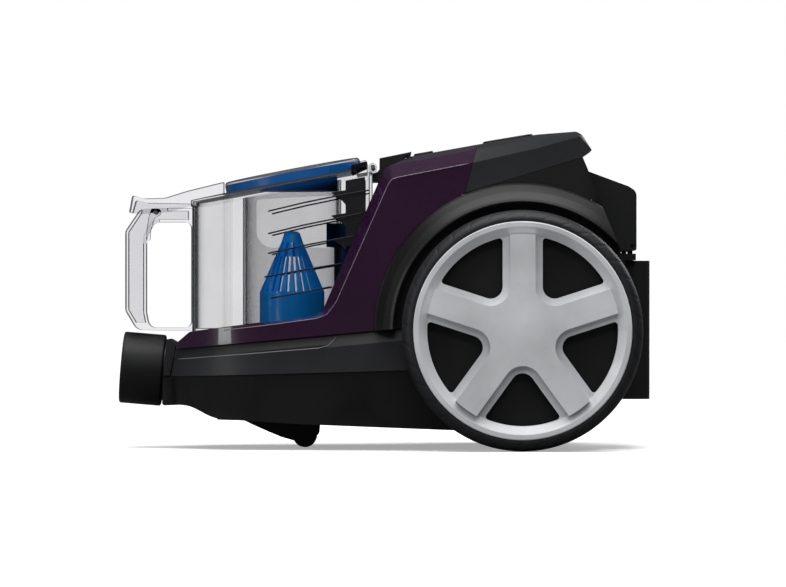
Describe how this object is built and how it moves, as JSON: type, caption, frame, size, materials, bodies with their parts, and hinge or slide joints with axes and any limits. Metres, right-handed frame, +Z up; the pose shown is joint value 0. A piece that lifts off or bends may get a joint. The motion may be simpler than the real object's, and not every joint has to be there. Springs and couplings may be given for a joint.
{
  "type": "bagless cylinder vacuum cleaner",
  "caption": "Bagless cylinder vacuum cleaner with a lift-out clear dust bucket, cyclone cone, large five-spoke rear wheels, swivel caster and hose inlet.",
  "frame": {"origin": "on the floor, under the centre of the machine's bounding box", "axes": "-X towards the hose inlet (front), +X towards the exhaust (rear), +Y the machine's left side, +Z up"},
  "size_m": [0.4073, 0.281, 0.2422],
  "materials": {
    "matte_black": "fine spark-eroded texture",
    "satin_charcoal": "satin, fine grain",
    "aubergine_gloss": "high-gloss, deep tinted",
    "smoke_clear": "clear smoke-tinted moulded plastic",
    "clear": "clear moulded plastic",
    "azure": "satin-gloss",
    "silver_plastic": "satin silver-grey moulded plastic",
    "rubber": "soft elastomer tread",
    "seal_rubber": "moulded rubber",
    "steel": "turned steel",
    "spring_steel": "spring wire",
    "white_plastic": "acetal, as moulded",
    "foam": "open-cell foam",
    "filter_paper": "pleated fleece",
    "board_green": "laminate with parts on it",
    "core": "varnished laminations and winding"
  },
  "bodies": {
    "chassis": {"floor_pan": "matte_black", "belt": "satin_charcoal", "upper_casing": "aubergine_gloss", "rear_top_cover": "satin_charcoal", "rear_housing": "matte_black", "wheel_arch_left": "matte_black", "wheel_arch_right": "matte_black", "bucket_well": "matte_black", "rear_bumper": "matte_black", "cord_outlet": "seal_rubber", "casing_screws": "steel", "inlet_neck": "satin_charcoal", "inlet_duct": "matte_black", "axle_bush_left": "white_plastic", "axle_bush_right": "white_plastic", "caster_bush": "white_plastic", "bucket_gasket": "seal_rubber", "motor_casing": "white_plastic", "motor_stator": "core", "motor_mounts": "seal_rubber", "motor_filter": "foam", "reel_frame": "white_plastic", "control_board": "board_green", "door_hinge_pins": "matte_black", "exhaust_filter": "filter_paper", "release_spring": "spring_steel", "power_spring": "spring_steel", "rewind_spring": "spring_steel"},
    "inlet_collar": {"inlet_collar": "matte_black"},
    "wheel_left": {"wheel_rim_left": "silver_plastic", "tyre_left": "rubber", "wheel_backplate_left": "matte_black", "stub_axle_left": "steel"},
    "wheel_right": {"wheel_rim_right": "silver_plastic", "tyre_right": "rubber", "wheel_backplate_right": "matte_black", "stub_axle_right": "steel"},
    "caster_swivel": {"caster_arm": "matte_black"},
    "caster_wheel": {"caster_roller": "seal_rubber", "caster_axle": "steel"},
    "dust_bucket": {"bucket_shell": "smoke_clear", "bucket_handle": "clear", "cyclone_wall": "smoke_clear", "vortex_cone": "azure", "inlet_riser": "azure", "side_louvres": "satin_charcoal", "bucket_pins": "steel", "hinge_cover": "matte_black"},
    "bucket_lid": {"lid_plate": "clear", "lid_ring": "azure", "lid_window": "clear", "cyclone_cap": "azure"},
    "lid_trigger": {"lid_trigger": "clear"},
    "release_button": {"release_button": "matte_black"},
    "power_button": {"power_button": "satin_charcoal"},
    "rewind_button": {"rewind_button": "satin_charcoal"},
    "motor_rotor": {"motor_shaft": "steel", "impeller": "steel"},
    "cord_reel": {"cord_reel": "white_plastic"},
    "exhaust_door": {"exhaust_door": "matte_black"}
  },
  "joints": [
    {"name": "inlet_swivel", "type": "hinge", "parent": "chassis", "child": "inlet_collar", "pos_m": [-0.2014, 0, 0.0618], "axis": [-0.9965, 0, 0.0837], "continuous": true},
    {"name": "wheel_left_spin", "type": "hinge", "parent": "chassis", "child": "wheel_left", "pos_m": [0.105, 0.125, 0.0906], "axis": [0, 1, 0], "continuous": true},
    {"name": "wheel_right_spin", "type": "hinge", "parent": "chassis", "child": "wheel_right", "pos_m": [0.105, -0.125, 0.0906], "axis": [0, 1, 0], "continuous": true},
    {"name": "caster_turn", "type": "hinge", "parent": "chassis", "child": "caster_swivel", "pos_m": [-0.092, 0, 0.03], "axis": [0, 0, 1], "continuous": true},
    {"name": "caster_roll", "type": "hinge", "parent": "caster_swivel", "child": "caster_wheel", "pos_m": [-0.06, 0, 0.0093], "axis": [0, 1, 0], "continuous": true},
    {"name": "bucket_lift", "type": "slide", "parent": "chassis", "child": "dust_bucket", "axis": [0, 0, 1], "range_m": [0, 0.16]},
    {"name": "lid_hinge", "type": "hinge", "parent": "dust_bucket", "child": "bucket_lid", "pos_m": [-0.0075, 0, 0.2155], "axis": [0, 1, 0], "range_deg": [0, 75]},
    {"name": "trigger_pull", "type": "hinge", "parent": "dust_bucket", "child": "lid_trigger", "pos_m": [-0.175, 0, 0.181], "axis": [0, 1, 0], "range_deg": [0, 8], "stiffness_Nm_per_rad": 0.2},
    {"name": "release_push", "type": "slide", "parent": "chassis", "child": "release_button", "axis": [0, 0, -1], "range_m": [0, 0.003], "stiffness_N_per_m": 400, "deforming": ["release_spring"]},
    {"name": "power_push", "type": "slide", "parent": "chassis", "child": "power_button", "axis": [0, 0, -1], "range_m": [0, 0.0035], "stiffness_N_per_m": 500, "deforming": ["power_spring"]},
    {"name": "rewind_push", "type": "slide", "parent": "chassis", "child": "rewind_button", "axis": [0, 0, -1], "range_m": [0, 0.0035], "stiffness_N_per_m": 500, "deforming": ["rewind_spring"]},
    {"name": "motor_spin", "type": "hinge", "parent": "chassis", "child": "motor_rotor", "pos_m": [0.04, 0, 0.072], "axis": [1, 0, 0], "continuous": true},
    {"name": "reel_spin", "type": "hinge", "parent": "chassis", "child": "cord_reel", "pos_m": [0.116, 0, 0.15], "axis": [0, 1, 0], "continuous": true},
    {"name": "exhaust_door_hinge", "type": "hinge", "parent": "chassis", "child": "exhaust_door", "pos_m": [0.1895, 0, 0.1545], "axis": [0, 1, 0], "range_deg": [0, 75]}
  ]
}
